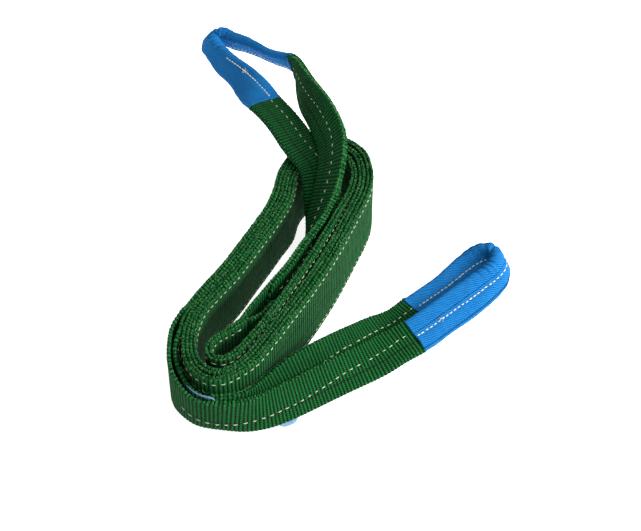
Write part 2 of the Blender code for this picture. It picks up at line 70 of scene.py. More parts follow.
SLEEVE_T = 0.75               # wear sleeve fabric
SLEEVE_A = 3.45               # half thickness of a sleeve
SLEEVE_B = 15.4               # half width of a sleeve
SEAM_PULL = 0.55              # how deep a seam draws the sleeve in
OUTER_SEAMS = (-1.6, 0.5)     # seams across the sleeve, on its +side and -side faces
INNER_SEAMS = (-4.0, 6.5)
INNER_MOUTHS = ((-22.6, 180.5, 56), (-47.5, 130, 61))  # ends of the inner eye's sleeve

# Centre line of the body: x, y and lift (left out where it is 0), from the outer throat
# inwards to the inner throat.
BODY = [
    # first left pass, outermost
    (-110.6, -115.5), (-109.2, -106.5), (-105, -93.5), (-97.2, -77), (-80.4, -52.3),
    (-64, -23.5), (-51.8, -0.8), (-43.8, 15), (-37, 31),
    # far end and right side, outermost
    (-34, 46), (-29.5, 60), (-20, 75), (-6, 86.5), (10, 91), (25, 86), (36, 74), (40.6, 57),
    (40, 37), (29.3, 6), (10.5, -38.5), (-11.5, -80.5), (-37.4, -124.4),
    # near end and second left pass
    (-50.3, -144), (-58.8, -152.2), (-68, -158.8), (-78, -162.3), (-88, -160.2),
    (-96, -153.6), (-101, -145), (-103.6, -135), (-103.9, -117), (-99.4, -97), (-92, -80),
    (-75, -55.2), (-58.9, -26.3), (-46.5, -3.6), (-38.4, 12.2), (-31.2, 28.5),
    # far end and second right pass
    (-28.2, 45), (-23.3, 57.5), (-14.6, 68.6), (-3, 78.5), (9, 83), (21, 79.6), (30, 70),
    (34, 55.5), (33.5, 38), (23.2, 8.3), (4.8, -35.3), (-17.2, -77.2), (-43, -121),
    # near end and innermost left pass
    (-56, -140.3), (-67, -151), (-79, -154.8), (-88, -151.8), (-94.5, -144.5),
    (-97.6, -134), (-97.9, -117), (-94, -99), (-87, -83), (-70, -58), (-53.7, -29),
    (-41.2, -6.3), (-33, 9.6), (-25.6, 26.2),
    # far end and third right pass
    (-22.5, 42), (-17.8, 53.5), (-10.2, 63), (0, 71), (9, 74.6), (17.6, 72), (24.4, 64),
    (27.4, 53), (26.5, 38, 0.5), (16.6, 11, 2), (-1.6, -31.4, 4), (-23.4, -73.4, 3.6),
    (-49.2, -117, 2.6),
    # hairpin, then the short fourth pass up to the inner throat
    (-61.5, -134, 2.2), (-70.5, -143, 2.2), (-79.5, -144.3, 2.2), (-85.3, -138, 2.2),
    (-84, -128.5, 2.2), (-76, -120.5, 2.2), (-65.5, -112.6, 2.2), (-56.5, -103.5, 2.2),
]

# Rows of the eye loops: centre of the folded webbing (x, y, z), direction of its width (from
# the fold towards the selvages), then, where given, the height of the folded-up half (FLAP if
# left out) and 1 where the width direction is held and not squared to the path.
# Near leg of the outer eye, round the near end of the coil and away from it.
NEAR_LEG = [
    (-114.1, -107.6, 30.8, 0, 0, 1, 3.6), (-116.3, -117, 30.8, 0, 0, 1, 3.6),
    (-116.9, -129, 30.8, 0, 0, 1, 4), (-116.0, -140.5, 30.8, 0, 0, 1, 8),
    (-112.3, -152, 30.8, 0, 0, 1, 14), (-105.5, -162.7, 30.8, 0, 0, 1, 22),
    (-94.6, -172.2, 30.8, 0, 0.02, 1, 27), (-79, -176.2, 30.6, 0, 0.06, 1),
    (-64, -175.4, 29.6, -0.03, 0.15, 1), (-48, -170.2, 27, -0.12, 0.36, 0.93),
    (-34, -161.9, 24, -0.22, 0.5, 0.84), (-17, -150.2, 21, -0.32, 0.54, 0.77),
    (2, -136.6, 18.3, -0.36, 0.58, 0.74), (23, -122, 15.8, -0.44, 0.64, 0.62),
    (45, -107.3, 13.4, -0.52, 0.73, 0.42), (61, -95.6, 12.6, -0.6, 0.77, 0.2),
]
# x and y shift of the first rows of the near leg itself, which lies closer to the coil
CLOSER = [(1.8, 0), (1.8, 0), (1.8, 0), (1.3, 0.2), (0.9, 0.5), (0.6, 0.7), (0.3, 0.8), (0, 0.8)]
# The far leg runs behind NEAR_LEG: how far behind, and how far it is shifted up along the
# width, for the rows from the third on.
BEHIND = [(6.5, 0), (6.5, 0), (6.6, 0), (6.8, 0), (6.9, 0), (7.3, 0), (8, 1),
          (8.1, 3.5), (7.6, 8), (7.2, 13.5), (7, 16), (7, 17), (7.6, 18.5), (8.2, 20.5)]
# Tip of the outer eye, lying on the table: along the eye, across it, height, and the width
# direction in the same order.
TIP_ALONG = (0.76, 0.65)
FAR_LEG_AIM = (3, -114.6, 12.9)  # point that the last row of the far leg is lined up with
OUTER_TIP = [
    (3, -114.4, 13.0, 0, 0.96, 0.26), (28, -114.4, 13.2, 0, 0.94, 0.32),
    (55, -114.2, 13.4, 0, 0.94, 0.34), (74, -113.8, 13.8, 0, 0.92, 0.38),
    (87, -112.8, 14.4, -0.06, 0.84, 0.52), (97, -110.4, 15.8, -0.2, 0.62, 0.74),
    (105, -105.4, 17.3, -0.3, 0.3, 0.88), (108, -99.4, 17.7, -0.34, 0.16, 0.92),
    (105, -93.8, 16.2, -0.3, 0.34, 0.88), (97, -91.2, 12.9, -0.2, 0.7, 0.64),
    (87, -90.6, 9.6, -0.06, 0.92, 0.36), (76, -91.0, 8.0, 0, 0.98, 0.18),
    (55, -91.8, 6.2, 0, 1, 0.06), (28, -91.2, 5.0, 0, 1, 0.04), (3, -92.4, 5.4, 0, 1, 0.1),
]
# Right leg of the inner eye, from the inner throat up over the far end of the coil; tip; and
# left leg, back under the right leg and down to the throat.
INNER_EYE = [
    (-51.8, -93.2, 40.0, 0, 0, 1, 12, 1), (-45.2, -83.2, 44.5, 0, 0, 1, 21, 1),
    (-38.6, -72.6, 49.0, 0, 0, 1, FLAP, 1), (-30.4, -60.6, 49, 0, 0, 1),
    (-20.6, -44.4, 49.2, 0, 0, 1), (-13.2, -29, 49.8, 0.04, -0.02, 1),
    (-7.8, -14, 52.6, 0.25, -0.13, 0.96), (-3, 1, 57.5, 0.5, -0.24, 0.84),
    (2.6, 18, 64.2, 0.62, -0.28, 0.74), (7.6, 36, 73.6, 0.68, -0.14, 0.72),
    (9.8, 54, 79.0, 0.69, 0, 0.72), (8.4, 72, 80.4, 0.69, 0, 0.72),
    (3.2, 90, 79.6, 0.66, 0.05, 0.75), (-2.2, 108, 75.2, 0.58, 0, 0.81),
    (-8.2, 127, 68.2, 0.48, -0.1, 0.86), (-13.6, 147, 61.6, 0.34, -0.3, 0.88),
    (-17.6, 165, 57.8, 0.2, -0.42, 0.88), (-24.2, 183.5, 56, 0.02, -0.48, 0.87),
    (-38.6, 196.1, 52, -0.1, -0.52, 0.84), (-53.2, 210, 48, -0.12, -0.52, 0.84),
    (-68, 223.2, 44, -0.1, -0.44, 0.88), (-80, 232, 41, 0.1, -0.45, 0.88),
    (-89, 237.2, 40.6, 0.25, -0.42, 0.87), (-96.2, 235.6, 39.8, 0.42, -0.3, 0.86),
    (-99.0, 228, 40.2, 0.52, -0.12, 0.84), (-94.8, 216, 42.2, 0.56, 0.02, 0.82),
    (-86, 199.5, 44, 0.58, 0.2, 0.79), (-71.8, 177.4, 49.5, 0.64, 0.34, 0.68),
    (-59.2, 153.2, 55.5, 0.82, 0.45, 0.3), (-47.5, 131, 60.6, 0.86, 0.48, -0.1),
    (-35.4, 110.5, 64.2, 0.86, 0.47, -0.16), (-25.5, 92, 65.4, 0.87, 0.47, -0.12),
    (-15, 73, 65.2, 0.88, 0.47, -0.02), (-3.6, 55, 64.0, 0.93, 0.32, 0.0),
    (0.6, 37, 57.4, 0.93, 0.1, 0.14), (0.2, 20, 47.4, 0.8, -0.15, 0.5),
    (-3.8, 4, 35, 0.5, -0.2, 0.82), (-8.6, -12, 22.6, 0.2, -0.1, 0.96),
    (-13.6, -30, 16.8, 0.04, -0.02, 1), (-19.6, -43.6, 17, 0, 0, 1),
    (-25.8, -58, 17.4, 0, 0, 1), (-32.0, -72.8, 24.5, 0, 0, 1, 16, 1),
    (-39.4, -85.6, 30.2, 0, 0, 1, 5, 1), (-46.6, -96.2, 30.8, 0, 0, 1, 3.8, 1),
]

# Bends: a point on the bending line, the direction along the eye, and how far the bend
# reaches to either side of the line.
Bend = namedtuple("Bend", "point direction reach")
SWING = Bend((9.5, -147.5, 15.0), (0.80, 0.60, 0.0), 26)     # outer eye, upright line
LIFT = Bend((64.0, -79.0, 21.0), (*TIP_ALONG, 0.0), 17)      # outer eye, level, by the sleeve
HINGE_GAP = 2.6                      # from the level bending line of the outer eye


# ------------------------------------------------------------------ vectors and curves
def unit(vectors):
    vectors = np.asarray(vectors, float)
    return vectors / np.maximum(np.sqrt((vectors ** 2).sum(-1, keepdims=True)), 1e-12)


def square_to(vectors, axis):
    """Unit vectors with their share along the unit axis taken out."""
    return unit(vectors - (vectors * axis).sum(-1, keepdims=True) * axis)


def length_along(points):
    return np.concatenate([[0.0], np.cumsum(np.sqrt(((points[1:] - points[:-1]) ** 2).sum(1)))])


def smooth(x, low, high):
    """0 below low, 1 above high, an S curve between."""
    t = np.clip((np.asarray(x, float) - low) / (high - low), 0, 1)
    return t * t * (3 - 2 * t)


def wave(s, seed, size):
    """A slow, irregular wave along a length."""
    rng = np.random.default_rng(seed)
    total = np.zeros_like(s)
    for _ in range(5):
        total += np.sin(2 * np.pi * s / (size * rng.uniform(0.5, 1.8)) + rng.uniform(0, 6.3)) / 2.4
    return total


def spline(rows):
    """Natural cubic spline through the rows, resampled every STEP along its length."""
    knots = np.array(rows, float)
    count = len(knots)
    places = np.concatenate([[0.0], np.cumsum(((knots[1:, :3] - knots[:-1, :3]) ** 2).sum(1) ** 0.35)])
    spans = np.diff(places)
    matrix = np.zeros((count, count))
    right = np.zeros_like(knots)
    matrix[0, 0] = matrix[-1, -1] = 1.0
    for i in range(1, count - 1):
        matrix[i, i - 1:i + 2] = spans[i - 1], 2 * (spans[i - 1] + spans[i]), spans[i]
        right[i] = 6 * ((knots[i + 1] - knots[i]) / spans[i]
                        - (knots[i] - knots[i - 1]) / spans[i - 1])
    curve = np.linalg.solve(matrix, right)
    at = np.linspace(0, places[-1], 60 * count)
    k = np.clip(np.searchsorted(places, at, side="right") - 1, 0, count - 2)
    span = spans[k][:, None]
    before = (places[k + 1] - at)[:, None] / span
    after = (at - places[k])[:, None] / span
    dense = (before * knots[k] + after * knots[k + 1]
             + ((before ** 3 - before) * curve[k] + (after ** 3 - after) * curve[k + 1])
             * span ** 2 / 6)
    lengths = length_along(dense[:, :3])
    even = np.linspace(0, lengths[-1], int(round(lengths[-1] / STEP)) + 1)
    return np.stack([np.interp(even, lengths, column) for column in dense.T], 1)


# A path of webbing: centre, direction through its thickness (side), direction of its width,
# length along it and height of the folded-up half, one row for each cross section.
Path = namedtuple("Path", "centre side width length flap")


def full_row(row):
    """An eye row with its left-out height and hold filled in."""
    return tuple(row) + (FLAP, 0)[len(row) - 6:]


def eye(rows):
    """Path of an eye loop through its rows."""
    table = spline([full_row(row) for row in rows])
    centre, given = table[:, :3], unit(table[:, 3:6])
    tangent = unit(np.gradient(centre, axis=0))
    held = smooth(np.abs(table[:, 7]), 0.0, 0.4)[:, None]
    width = unit(square_to(given, tangent) * (1 - held) + given * held)
    tangent = square_to(tangent, width)
    return Path(centre, np.cross(tangent, width), width, length_along(centre),
                np.maximum(table[:, 6], 0))


def sample(path, s):
    """Centre, side and width direction at lengths s."""
    return [np.stack([np.interp(s, path.length, column) for column in rows.T], -1)
            for rows in (path.centre, path.side, path.width)]


def sample_unit(path, s):
    centre, side, width = sample(path, s)
    return centre, unit(side), unit(width)


def folded_height(flap):
    return WIDTH - flap + TWO_PLY - math.pi * PLY_PITCH / 2


def half_height(path, s):
    """Half the height of the folded webbing at lengths s."""
    return folded_height(np.maximum(np.interp(s, path.length, path.flap), 3)) / 2


def crossing(path, bend, low, high):
    """Length between low and high at which a path first crosses a bending line."""
    ahead = (path.centre - np.array(bend.point)) @ np.array(bend.direction)
    return next(path.length[i] for i in range(len(ahead) - 1)
                if ahead[i] * ahead[i + 1] <= 0 and low <= path.length[i] <= high)


def nearest(path, point):
    """Length at which a path comes closest to a point."""
    return path.length[int(((path.centre - np.array(point)) ** 2).sum(1).argmin())]


def place(points):
    """Millimetres of the tables to metres of the scene."""
    return (np.asarray(points, float) - CENTRE) * MM


# ------------------------------------------------------------------ meshes
def make_mesh(name, points, faces, uv, material, flat_from=None):
    """Smooth mesh in a new object; faces from flat_from on are flat."""
    mesh = bpy.data.meshes.new(name)
    mesh.from_pydata(place(points).tolist(), [], faces)
    layer = mesh.uv_layers.new(name="UVMap")
    corners = np.empty(len(mesh.loops), np.int32)
    mesh.loops.foreach_get("vertex_index", corners)
    layer.data.foreach_set("uv", np.asarray(uv, np.float32)[corners].ravel())
    flags = np.ones(len(mesh.polygons), bool)
    if flat_from is not None:
        flags[flat_from:] = False
    mesh.polygons.foreach_set("use_smooth", flags)
    mesh.validate()
    mesh.update()
    ob = bpy.data.objects.new(name, mesh)
    bpy.context.scene.collection.objects.link(ob)
    mesh.materials.append(material)
    return ob


def outward(ob):
    """Faces turned to the outside."""
    mesh = ob.data
    points = np.empty(len(mesh.vertices) * 3)
    mesh.vertices.foreach_get("co", points)
    mesh.calc_loop_triangles()
    corners = np.empty(len(mesh.loop_triangles) * 3, np.int32)
    mesh.loop_triangles.foreach_get("vertices", corners)
    tri = points.reshape(-1, 3)[corners.reshape(-1, 3)]
    if np.einsum("ij,ij->i", tri[:, 0], np.cross(tri[:, 1], tri[:, 2])).sum() < 0:
        mesh.flip_normals()
    return ob


def skin(name, rings, uv, material, caps=(True, True)):
    """Closed rings (rows, points, 3) joined into a skin."""
    count, around = rings.shape[:2]
    i = np.arange(count - 1)[:, None] * around
    j = np.arange(around)[None, :]
    k = (j + 1) % around
    faces = np.stack([i + j, i + k, i + around + k, i + around + j], -1).reshape(-1, 4).tolist()
    first_cap = len(faces)
    if caps[0]:
        faces.append(list(range(around))[::-1])
    if caps[1]:
        faces.append([(count - 1) * around + q for q in range(around)])
    return outward(make_mesh(name, rings.reshape(-1, 3), faces, uv.reshape(-1, 2), material,
                             first_cap))


# ------------------------------------------------------------------ body path
body_line = spline([(*row, 0)[:3] for row in BODY])
body_ahead = unit(np.gradient(body_line[:, :2], axis=0))
inward = np.column_stack([body_ahead[:, 1], -body_ahead[:, 0], np.zeros(len(body_line))])
UP = np.array([0, 0, 1.0])
# the left passes lean a little towards the middle of the coil
lean = (np.radians(4.5) * smooth(body_line[:, 1], -102, -80) * (1 - smooth(body_line[:, 1], 5, 40))
        * smooth(body_ahead[:, 1], 0.2, 0.6))
body = Path(
    centre=np.column_stack([body_line[:, :2], body_line[:, 2] + BODY_MID_Z]),
    side=inward * np.cos(lean)[:, None] - UP * np.sin(lean)[:, None],
    width=inward * np.sin(lean)[:, None] + UP * np.cos(lean)[:, None],
    length=length_along(body_line[:, :2]),
    flap=None)
BODY_END = body.length[-1]


# ------------------------------------------------------------------ eye paths
def tip_to_plan(along, across):
    cos, sin = TIP_ALONG
    return cos * along - sin * across, sin * along + cos * across


def behind(row, ahead, back, up):
    """A row of the far leg: the near leg's row moved back from its face and up its width."""
    row = full_row(row)
    tangent = unit(ahead)
    width = square_to(unit(row[3:6]), tangent)
    centre = np.array(row[:3]) - np.cross(tangent, width) * back + width * up
    return (*centre, *width, row[6])


def outer_eye():
    points = [np.array(row[:3]) for row in NEAR_LEG]
    points.append(np.array((*tip_to_plan(*FAR_LEG_AIM[:2]), FAR_LEG_AIM[2])))
    far_leg = [behind(NEAR_LEG[i], points[i + 1] - points[i - 1], *BEHIND[i - 2])
               for i in range(2, len(NEAR_LEG))]
    shifts = CLOSER + [(0, 0)] * (len(NEAR_LEG) - len(CLOSER))
    near_leg = [(row[0] + dx, row[1] + dy, *row[2:]) for row, (dx, dy) in zip(NEAR_LEG, shifts)]
    tip = [(*tip_to_plan(*row[:2]), row[2], *tip_to_plan(*row[3:5]), row[5]) for row in OUTER_TIP]
    # it leaves the outer ply a little way along the body and ends on the inner ply's start
    leave = int(np.searchsorted(body.length, 20.5))
    first = (*body_line[leave, :2], BODY_MID_Z, 0, 0, 1, 0)
    last = (*(body_line[0, :2] + PLY_PITCH * inward[0, :2]), BODY_MID_Z, 0, 0, 1, 0)
    return eye([first] + near_leg + tip + far_leg[::-1] + [last])


def inner_eye():
    leave = len(body.length) - 9
    first = (*body.centre[leave], 0, 0, 1, 0)
    last = (*(body.centre[leave + 2] + 0.3 * inward[leave]), 0, 0, 1, 0)
    path = eye([first] + INNER_EYE + [last])
    # the folded half of the inner eye lies on the other side
    return path._replace(side=-path.side)


outer, inner = outer_eye(), inner_eye()
OUTER_END, INNER_END = outer.length[-1], inner.length[-1]
NEAR_SWING = crossing(outer, SWING, 0, OUTER_END / 2)
NEAR_LIFT = crossing(outer, LIFT, 0, OUTER_END / 2)
FAR_LIFT = crossing(outer, LIFT, OUTER_END / 2, OUTER_END)
FAR_SWING = crossing(outer, SWING, OUTER_END / 2, OUTER_END)
# where the webbing of the legs is joined to the webbing of the tip
NEAR_JOIN, FAR_JOIN = (NEAR_SWING + NEAR_LIFT) / 2, (FAR_LIFT + FAR_SWING) / 2
# ends and middles of the sleeves
OUT_0, OUT_1 = NEAR_LIFT + HINGE_GAP + 0.5, FAR_LIFT - HINGE_GAP - 24
IN_0, IN_1 = (nearest(inner, point) for point in INNER_MOUTHS)
OUT_MID, IN_MID = (OUT_0 + OUT_1) / 2, (IN_0 + IN_1) / 2


# ------------------------------------------------------------------ materials
class Shader:
    """Short hand for building a node tree round the Principled shader.

    UV runs along and across the cloth, in millimetres."""

    def __init__(self, name, uv=False):
        self.material = bpy.data.materials.new(name)
        self.material.use_nodes = True
        self.tree = self.material.node_tree
        self.principled = self.tree.nodes["Principled BSDF"]
        if uv:
            uv_map = self.node("ShaderNodeUVMap")
            uv_map.uv_map = "UVMap"
            split = self.node("ShaderNodeSeparateXYZ")
            self.link(uv_map.outputs[0], split.inputs[0])
            self.along, self.across = split.outputs[0], split.outputs[1]

    def node(self, kind):
        return self.tree.nodes.new(kind)

    def link(self, output, socket):
        self.tree.links.new(output, socket)

    def put(self, socket, value):
        if isinstance(value, bpy.types.NodeSocket):
            self.link(value, socket)
        else:
            socket.default_value = value

    def math(self, operation, *values, clamp=False):
        node = self.node("ShaderNodeMath")
        node.operation = operation
        node.use_clamp = clamp
        for k, value in enumerate((*values, 0.0, 0.0)[:3]):
            self.put(node.inputs[k], value)
        return node.outputs[0]

    def times(self, first, second):
        return self.math("MULTIPLY", first, second)

    def plus(self, first, second):
        return self.math("ADD", first, second)

    def above(self, value, limit):
        """How far a value is above a limit, never below 0."""
        return self.math("SUBTRACT", value, limit, clamp=True)

    def sine(self, angle):
        """Sine wave between 0 and 1."""
        return self.math("MULTIPLY_ADD", self.math("SINE", angle), 0.5, 0.5)

    def falloff(self, distance, width):
        """1 where the distance is 0, falling to 0 at width."""
        return self.math("SUBTRACT", 1.0, self.math("DIVIDE", distance, width), clamp=True)

    def band(self, centre, width):
        """1 on a line along the cloth, 0 outside a narrow band round it."""
        return self.falloff(self.math("ABSOLUTE", self.math("SUBTRACT", self.across, centre)), width)

    def noise(self, vector, scale, detail):
        node = self.node("ShaderNodeTexNoise")
        self.link(vector, node.inputs["Vector"])
        node.inputs["Scale"].default_value = scale
        node.inputs["Detail"].default_value = detail
        node.inputs["Roughness"].default_value = 0.6
        return node.outputs["Fac"]

    def solid_noise(self, scale, detail=2.0):
        """Noise in object space."""
        coordinates = self.node("ShaderNodeTexCoord").outputs["Object"]
        return self.noise(coordinates, scale, detail)

    def cloth_noise(self, along, across, layer=0.0, detail=2.0):
        """Noise over the UVs, with its frequency along and across the cloth."""
        node = self.node("ShaderNodeCombineXYZ")
        self.link(self.times(self.along, along), node.inputs[0])
        self.link(self.times(self.across, across), node.inputs[1])
        node.inputs[2].default_value = layer
        return self.noise(node.outputs[0], scale=1.0, detail=detail)

    def mix(self, factor, base, colour):
        node = self.node("ShaderNodeMix")
        node.data_type = "RGBA"
        self.link(factor, node.inputs[0])
        self.link(base, node.inputs[6])
        node.inputs[7].default_value = (*colour, 1)
        return node.outputs[2]

    def ramp(self, factor, stops):
        node = self.node("ShaderNodeValToRGB")
        self.link(factor, node.inputs[0])
        elements = node.color_ramp.elements
        while len(elements) < len(stops):
            elements.new(0.5)
        for element, (position, colour) in zip(elements, stops):
            element.position = position
            element.color = (*colour, 1)
        return node.outputs[0]

    def bump(self, height, strength, distance):
        node = self.node("ShaderNodeBump")
        node.inputs["Strength"].default_value = strength
        node.inputs["Distance"].default_value = distance
        self.link(height, node.inputs["Height"])
        self.link(node.outputs[0], self.principled.inputs["Normal"])

    def finish(self, colour, rough, sheen=0.0, tint=(1, 1, 1), specular=0.3):
        inputs = self.principled.inputs
        self.link(colour, inputs["Base Color"])
        inputs["Roughness"].default_value = rough
        inputs["Specular IOR Level"].default_value = specular
        inputs["Sheen Weight"].default_value = sheen
        inputs["Sheen Roughness"].default_value = 0.45
        inputs["Sheen Tint"].default_value = (*tint, 1)
        return self.material


def webbing_material():
    sh = Shader("green_webbing", uv=True)
    ribs = sh.math("DIVIDE", sh.along, RIB_PITCH)
    rib = sh.math("POWER", sh.math("ABSOLUTE", sh.math("SINE", sh.times(ribs, math.pi))), 0.8)
    # warp yarns lie side by side, 1.7 mm apart, and pass over every second rib
    odd = sh.times(sh.math("FLOOR", ribs), math.pi)
    yarn = sh.sine(sh.plus(sh.times(sh.across, 2 * math.pi / 1.7), odd))
    fine = sh.cloth_noise(along=1.6, across=3.4, detail=3.0)
    height = sh.plus(sh.times(rib, 0.55),
                     sh.plus(sh.times(sh.times(yarn, rib), 0.35), sh.times(fine, 0.22)))
    # the colour follows the height of the ribs and yarns: painted shade down in the grooves between
    # the ribs, painted highlight on their crests
    base = sh.ramp(height, stops=[(0.18, (0.0003, 0.004, 0.0012)), (0.48, (0.0010, 0.022, 0.0048)),
                                  (0.78, (0.0028, 0.066, 0.0135)), (1.0, (0.012, 0.17, 0.036))])
    # slow changes of hue and shade
    slow = sh.solid_noise(scale=22.0, detail=3.0)
    shade = sh.math("MULTIPLY_ADD", slow, 0.9, 0.55)
    colour = sh.mix(sh.times(slow, 0.22), base, colour=(0.004, 0.07, 0.012))
    colour = sh.mix(sh.math("SUBTRACT", 1.15, shade, clamp=True), colour,
                    colour=(0.001, 0.02, 0.005))
    # two dark stripes, at the thirds of the width
    stripes = sh.math("ADD", sh.band(WIDTH / 3, width=0.75), sh.band(2 * WIDTH / 3, width=0.75),
                      clamp=True)
    stripes = sh.times(sh.math("POWER", stripes, 0.4), sh.math("MULTIPLY_ADD", rib, 0.35, 0.5))
    colour = sh.mix(stripes, colour, colour=(0.006, 0.004, 0.008))
    # painted highlights: light flecks on the selvages, painted glints where the fibres catch the light
    near = sh.math("MINIMUM", sh.across, sh.math("SUBTRACT", WIDTH, sh.across))
    at_edge = sh.falloff(near, width=2.2)
    glint_noise = sh.cloth_noise(along=1.9, across=1.9, layer=3.0)
    edge_glint = sh.times(sh.math("GREATER_THAN", glint_noise, 0.60), at_edge)
    colour = sh.mix(sh.times(edge_glint, 0.55), colour, colour=(0.06, 0.33, 0.08))
    # pale flecks all over, painted glints of light on the fibres
    glint_noise = sh.cloth_noise(along=1.1, across=3.3, layer=8.0, detail=1.0)
    colour = sh.mix(sh.times(sh.math("GREATER_THAN", glint_noise, 0.66), 0.34), colour,
                    colour=(0.18, 0.36, 0.17))
    sh.bump(height, strength=1.0, distance=0.0012)
    return sh.finish(colour, rough=0.72, sheen=0.02, tint=(0.3, 1.0, 0.5), specular=0.045)


def sleeve_material():
    sh = Shader("blue_sleeve", uv=True)
    # slightly wandering diagonal twill, pitch 2.1 mm
    wander = sh.times(sh.cloth_noise(along=0.06, across=0.06), 3.0)
    diagonal = sh.plus(sh.plus(sh.along, sh.times(sh.across, 0.9)), wander)
    twill = sh.sine(sh.times(diagonal, 2 * math.pi / 2.1))
    fine = sh.cloth_noise(along=2.6, across=2.6, detail=3.0)
    height = sh.plus(sh.times(twill, 0.6), sh.times(fine, 0.5))
    base = sh.ramp(height, stops=[(0.1, (0.0025, 0.076, 0.29)), (0.5, (0.0055, 0.160, 0.47)),
                                  (0.95, (0.030, 0.270, 0.62))])
    # darker clouds, then paler streaks
    slow = sh.solid_noise(scale=30.0, detail=4.0)
    colour = sh.mix(sh.times(sh.above(slow, limit=0.35), 0.9), base, colour=(0.003, 0.09, 0.33))
    worn = sh.cloth_noise(along=0.25, across=0.9, layer=5.0, detail=4.0)
    colour = sh.mix(sh.times(sh.above(worn, limit=0.56), 1.6), colour, colour=(0.06, 0.29, 0.56))
    sh.bump(height, strength=1.0, distance=0.0012)
    return sh.finish(colour, rough=0.75, sheen=0.004, tint=(0.5, 0.8, 1.0), specular=0.05)


def thread_material(name, light, dark):
    sh = Shader(name, uv=True)
    twist = sh.sine(sh.times(sh.plus(sh.along, sh.across), 2 * math.pi))
    grime = sh.solid_noise(scale=300.0, detail=3.0)
    height = sh.plus(sh.times(twist, 0.5), sh.times(grime, 0.6))
    sh.bump(height, strength=0.5, distance=0.0003)
    return sh.finish(sh.ramp(height, stops=[(0.15, dark), (0.75, light)]), rough=0.65, sheen=0.15)


def label_material():
    sh = Shader("label_film")
    mottle = sh.solid_noise(scale=160.0, detail=3.0)
    sh.bump(mottle, strength=0.25, distance=0.0003)
    colour = sh.ramp(mottle, stops=[(0.3, (0.08, 0.17, 0.31)), (0.7, (0.19, 0.32, 0.46))])
    return sh.finish(colour, rough=0.5, specular=0.15)


def fluff_material():
    sh = Shader("selvage_fluff")
    tone = sh.solid_noise(scale=420.0, detail=1.0)
    colour = sh.ramp(tone, stops=[(0.35, (0.02, 0.20, 0.04)), (0.62, (0.16, 0.42, 0.14)),
                                  (0.8, (0.55, 0.66, 0.42))])
    return sh.finish(colour, rough=0.7, sheen=0.2)


WEBBING = webbing_material()
SLEEVE_CLOTH = sleeve_material()
CREAM_THREAD = thread_material("cream_thread", light=(0.60, 0.58, 0.42), dark=(0.24, 0.26, 0.15))
SLEEVE_THREAD = thread_material("sleeve_thread", light=(0.68, 0.68, 0.58), dark=(0.36, 0.38, 0.33))
LABEL_FILM = label_material()
FLUFF = fluff_material()


# ------------------------------------------------------------------ webbing
def rib_height(s):
    """Ribs of height 1 along the webbing."""
    return np.abs(np.sin(np.pi * np.asarray(s) / RIB_PITCH)) ** 0.75


def section(flap, thick=PLY_THIN, squash=1.0, gap=PLY_PITCH - PLY_THIN):
    """Webbing folded along its length; flap is the folded-up height, 0 where it is flat.
    Gives points, outward normals, distance across the width and how near an edge each is."""
    outer_radius, radius, half = thick + gap / 2, (thick + gap) / 2, thick / 2
    angle = math.pi * min(1.0, flap / outer_radius)
    level = WIDTH - radius * angle - max(0.0, flap - outer_radius)
    top = (level + outer_radius * math.sin(min(angle, math.pi / 2))) / 2
    level_end = min(level, WIDTH - half - 0.6)
    arc_end = min(level + radius * angle, WIDTH - half - 0.3)
    across = np.concatenate([np.linspace(half, level_end, 11),
                             level_end + (arc_end - level_end) * np.arange(1, 6) / 6,
                             np.linspace(arc_end, WIDTH - half, 7)])

    def middle(x):
        """Point and normal on the middle of the ply, x across the width."""
        x = np.asarray(x, float)
        turn = np.clip((x - level) / radius, 0, angle)
        past = np.maximum(x - level - radius * angle, 0)
        point = np.stack([radius * np.cos(turn) - np.sin(angle) * past,
                          top - np.minimum(x, level) - radius * np.sin(turn)
                          - np.cos(angle) * past], -1)
        return point, np.stack([np.cos(turn), -np.sin(turn)], -1)

    round_edge = np.radians([25, 58, 90, 122, 155])[:, None]
    centre, normal = middle(across)
    end, end_normal = middle(WIDTH - half)
    if WIDTH - half > level:
        end_ahead = np.array([-math.sin(angle), -math.cos(angle)])
    else:
        end_ahead = np.array([0, -1.0])
    end_out = np.cos(round_edge) * end_normal + np.sin(round_edge) * end_ahead
    start, start_normal = middle(half)
    start_out = -np.cos(round_edge) * start_normal + np.sin(round_edge) * np.array([0, 1.0])
    points = np.concatenate([centre + normal * half, end + end_out * half,
                             (centre - normal * half)[::-1], start + start_out * half])
    normals = np.concatenate([normal, end_out, -normal[::-1], start_out])
    past_edge = np.array([0.6, 0.2, 0, 0.2, 0.6])
    across = np.concatenate([across, WIDTH - past_edge, across[::-1], past_edge])
    edge = np.clip(1 - np.minimum(across, WIDTH - across) / 2.2, 0, 1)
    points[:, 1] *= squash
    return points, normals, across, edge


def flat_ply(name, side, start, seed):
    """One ply of the body, on the outer (-1) or inner (1) side of its centre line."""
    first = np.searchsorted(body.length, start)
    points, normals, across, edge = section(0.0)
    points = points - np.array([HALF_PITCH, 0])          # centred on the ply
    rng = np.random.default_rng(seed)
    s = body.length[first:]
    shape = (len(s), len(across))
    rise = RIB_RISE * 0.8 * rib_height(s)[:, None] * (1 - 0.35 * edge)
    rise = rise + rng.normal(0, 0.05, shape) * (1 + 4.2 * edge) + 0.12 * edge
    thick = points[:, 0] + normals[:, 0] * rise
    high = points[:, 1] + normals[:, 1] * rise
    # the upper edge is uneven in height and wanders sideways
    grow = 0.35 + 0.55 * wave(s, seed + 7, 90.0) + 0.25 * wave(s, seed + 9, 17.0)
    high = high + grow[:, None] * smooth(points[:, 1], -20, 28)
    thick = thick + 0.12 * wave(s, seed + 3, 23.0)[:, None] * smooth(points[:, 1], 0, 28)
    thick = thick + side * HALF_PITCH
    rings = (body.centre[first:, None] + thick[..., None] * body.side[first:, None]
             + high[..., None] * body.width[first:, None])
    shift = 1.3 if side > 0 else 0                       # weave of one ply against the other
    uv = np.stack([np.broadcast_to(s[:, None] + shift, shape), np.broadcast_to(across, shape)], -1)
    return skin(name, rings, uv, WEBBING)


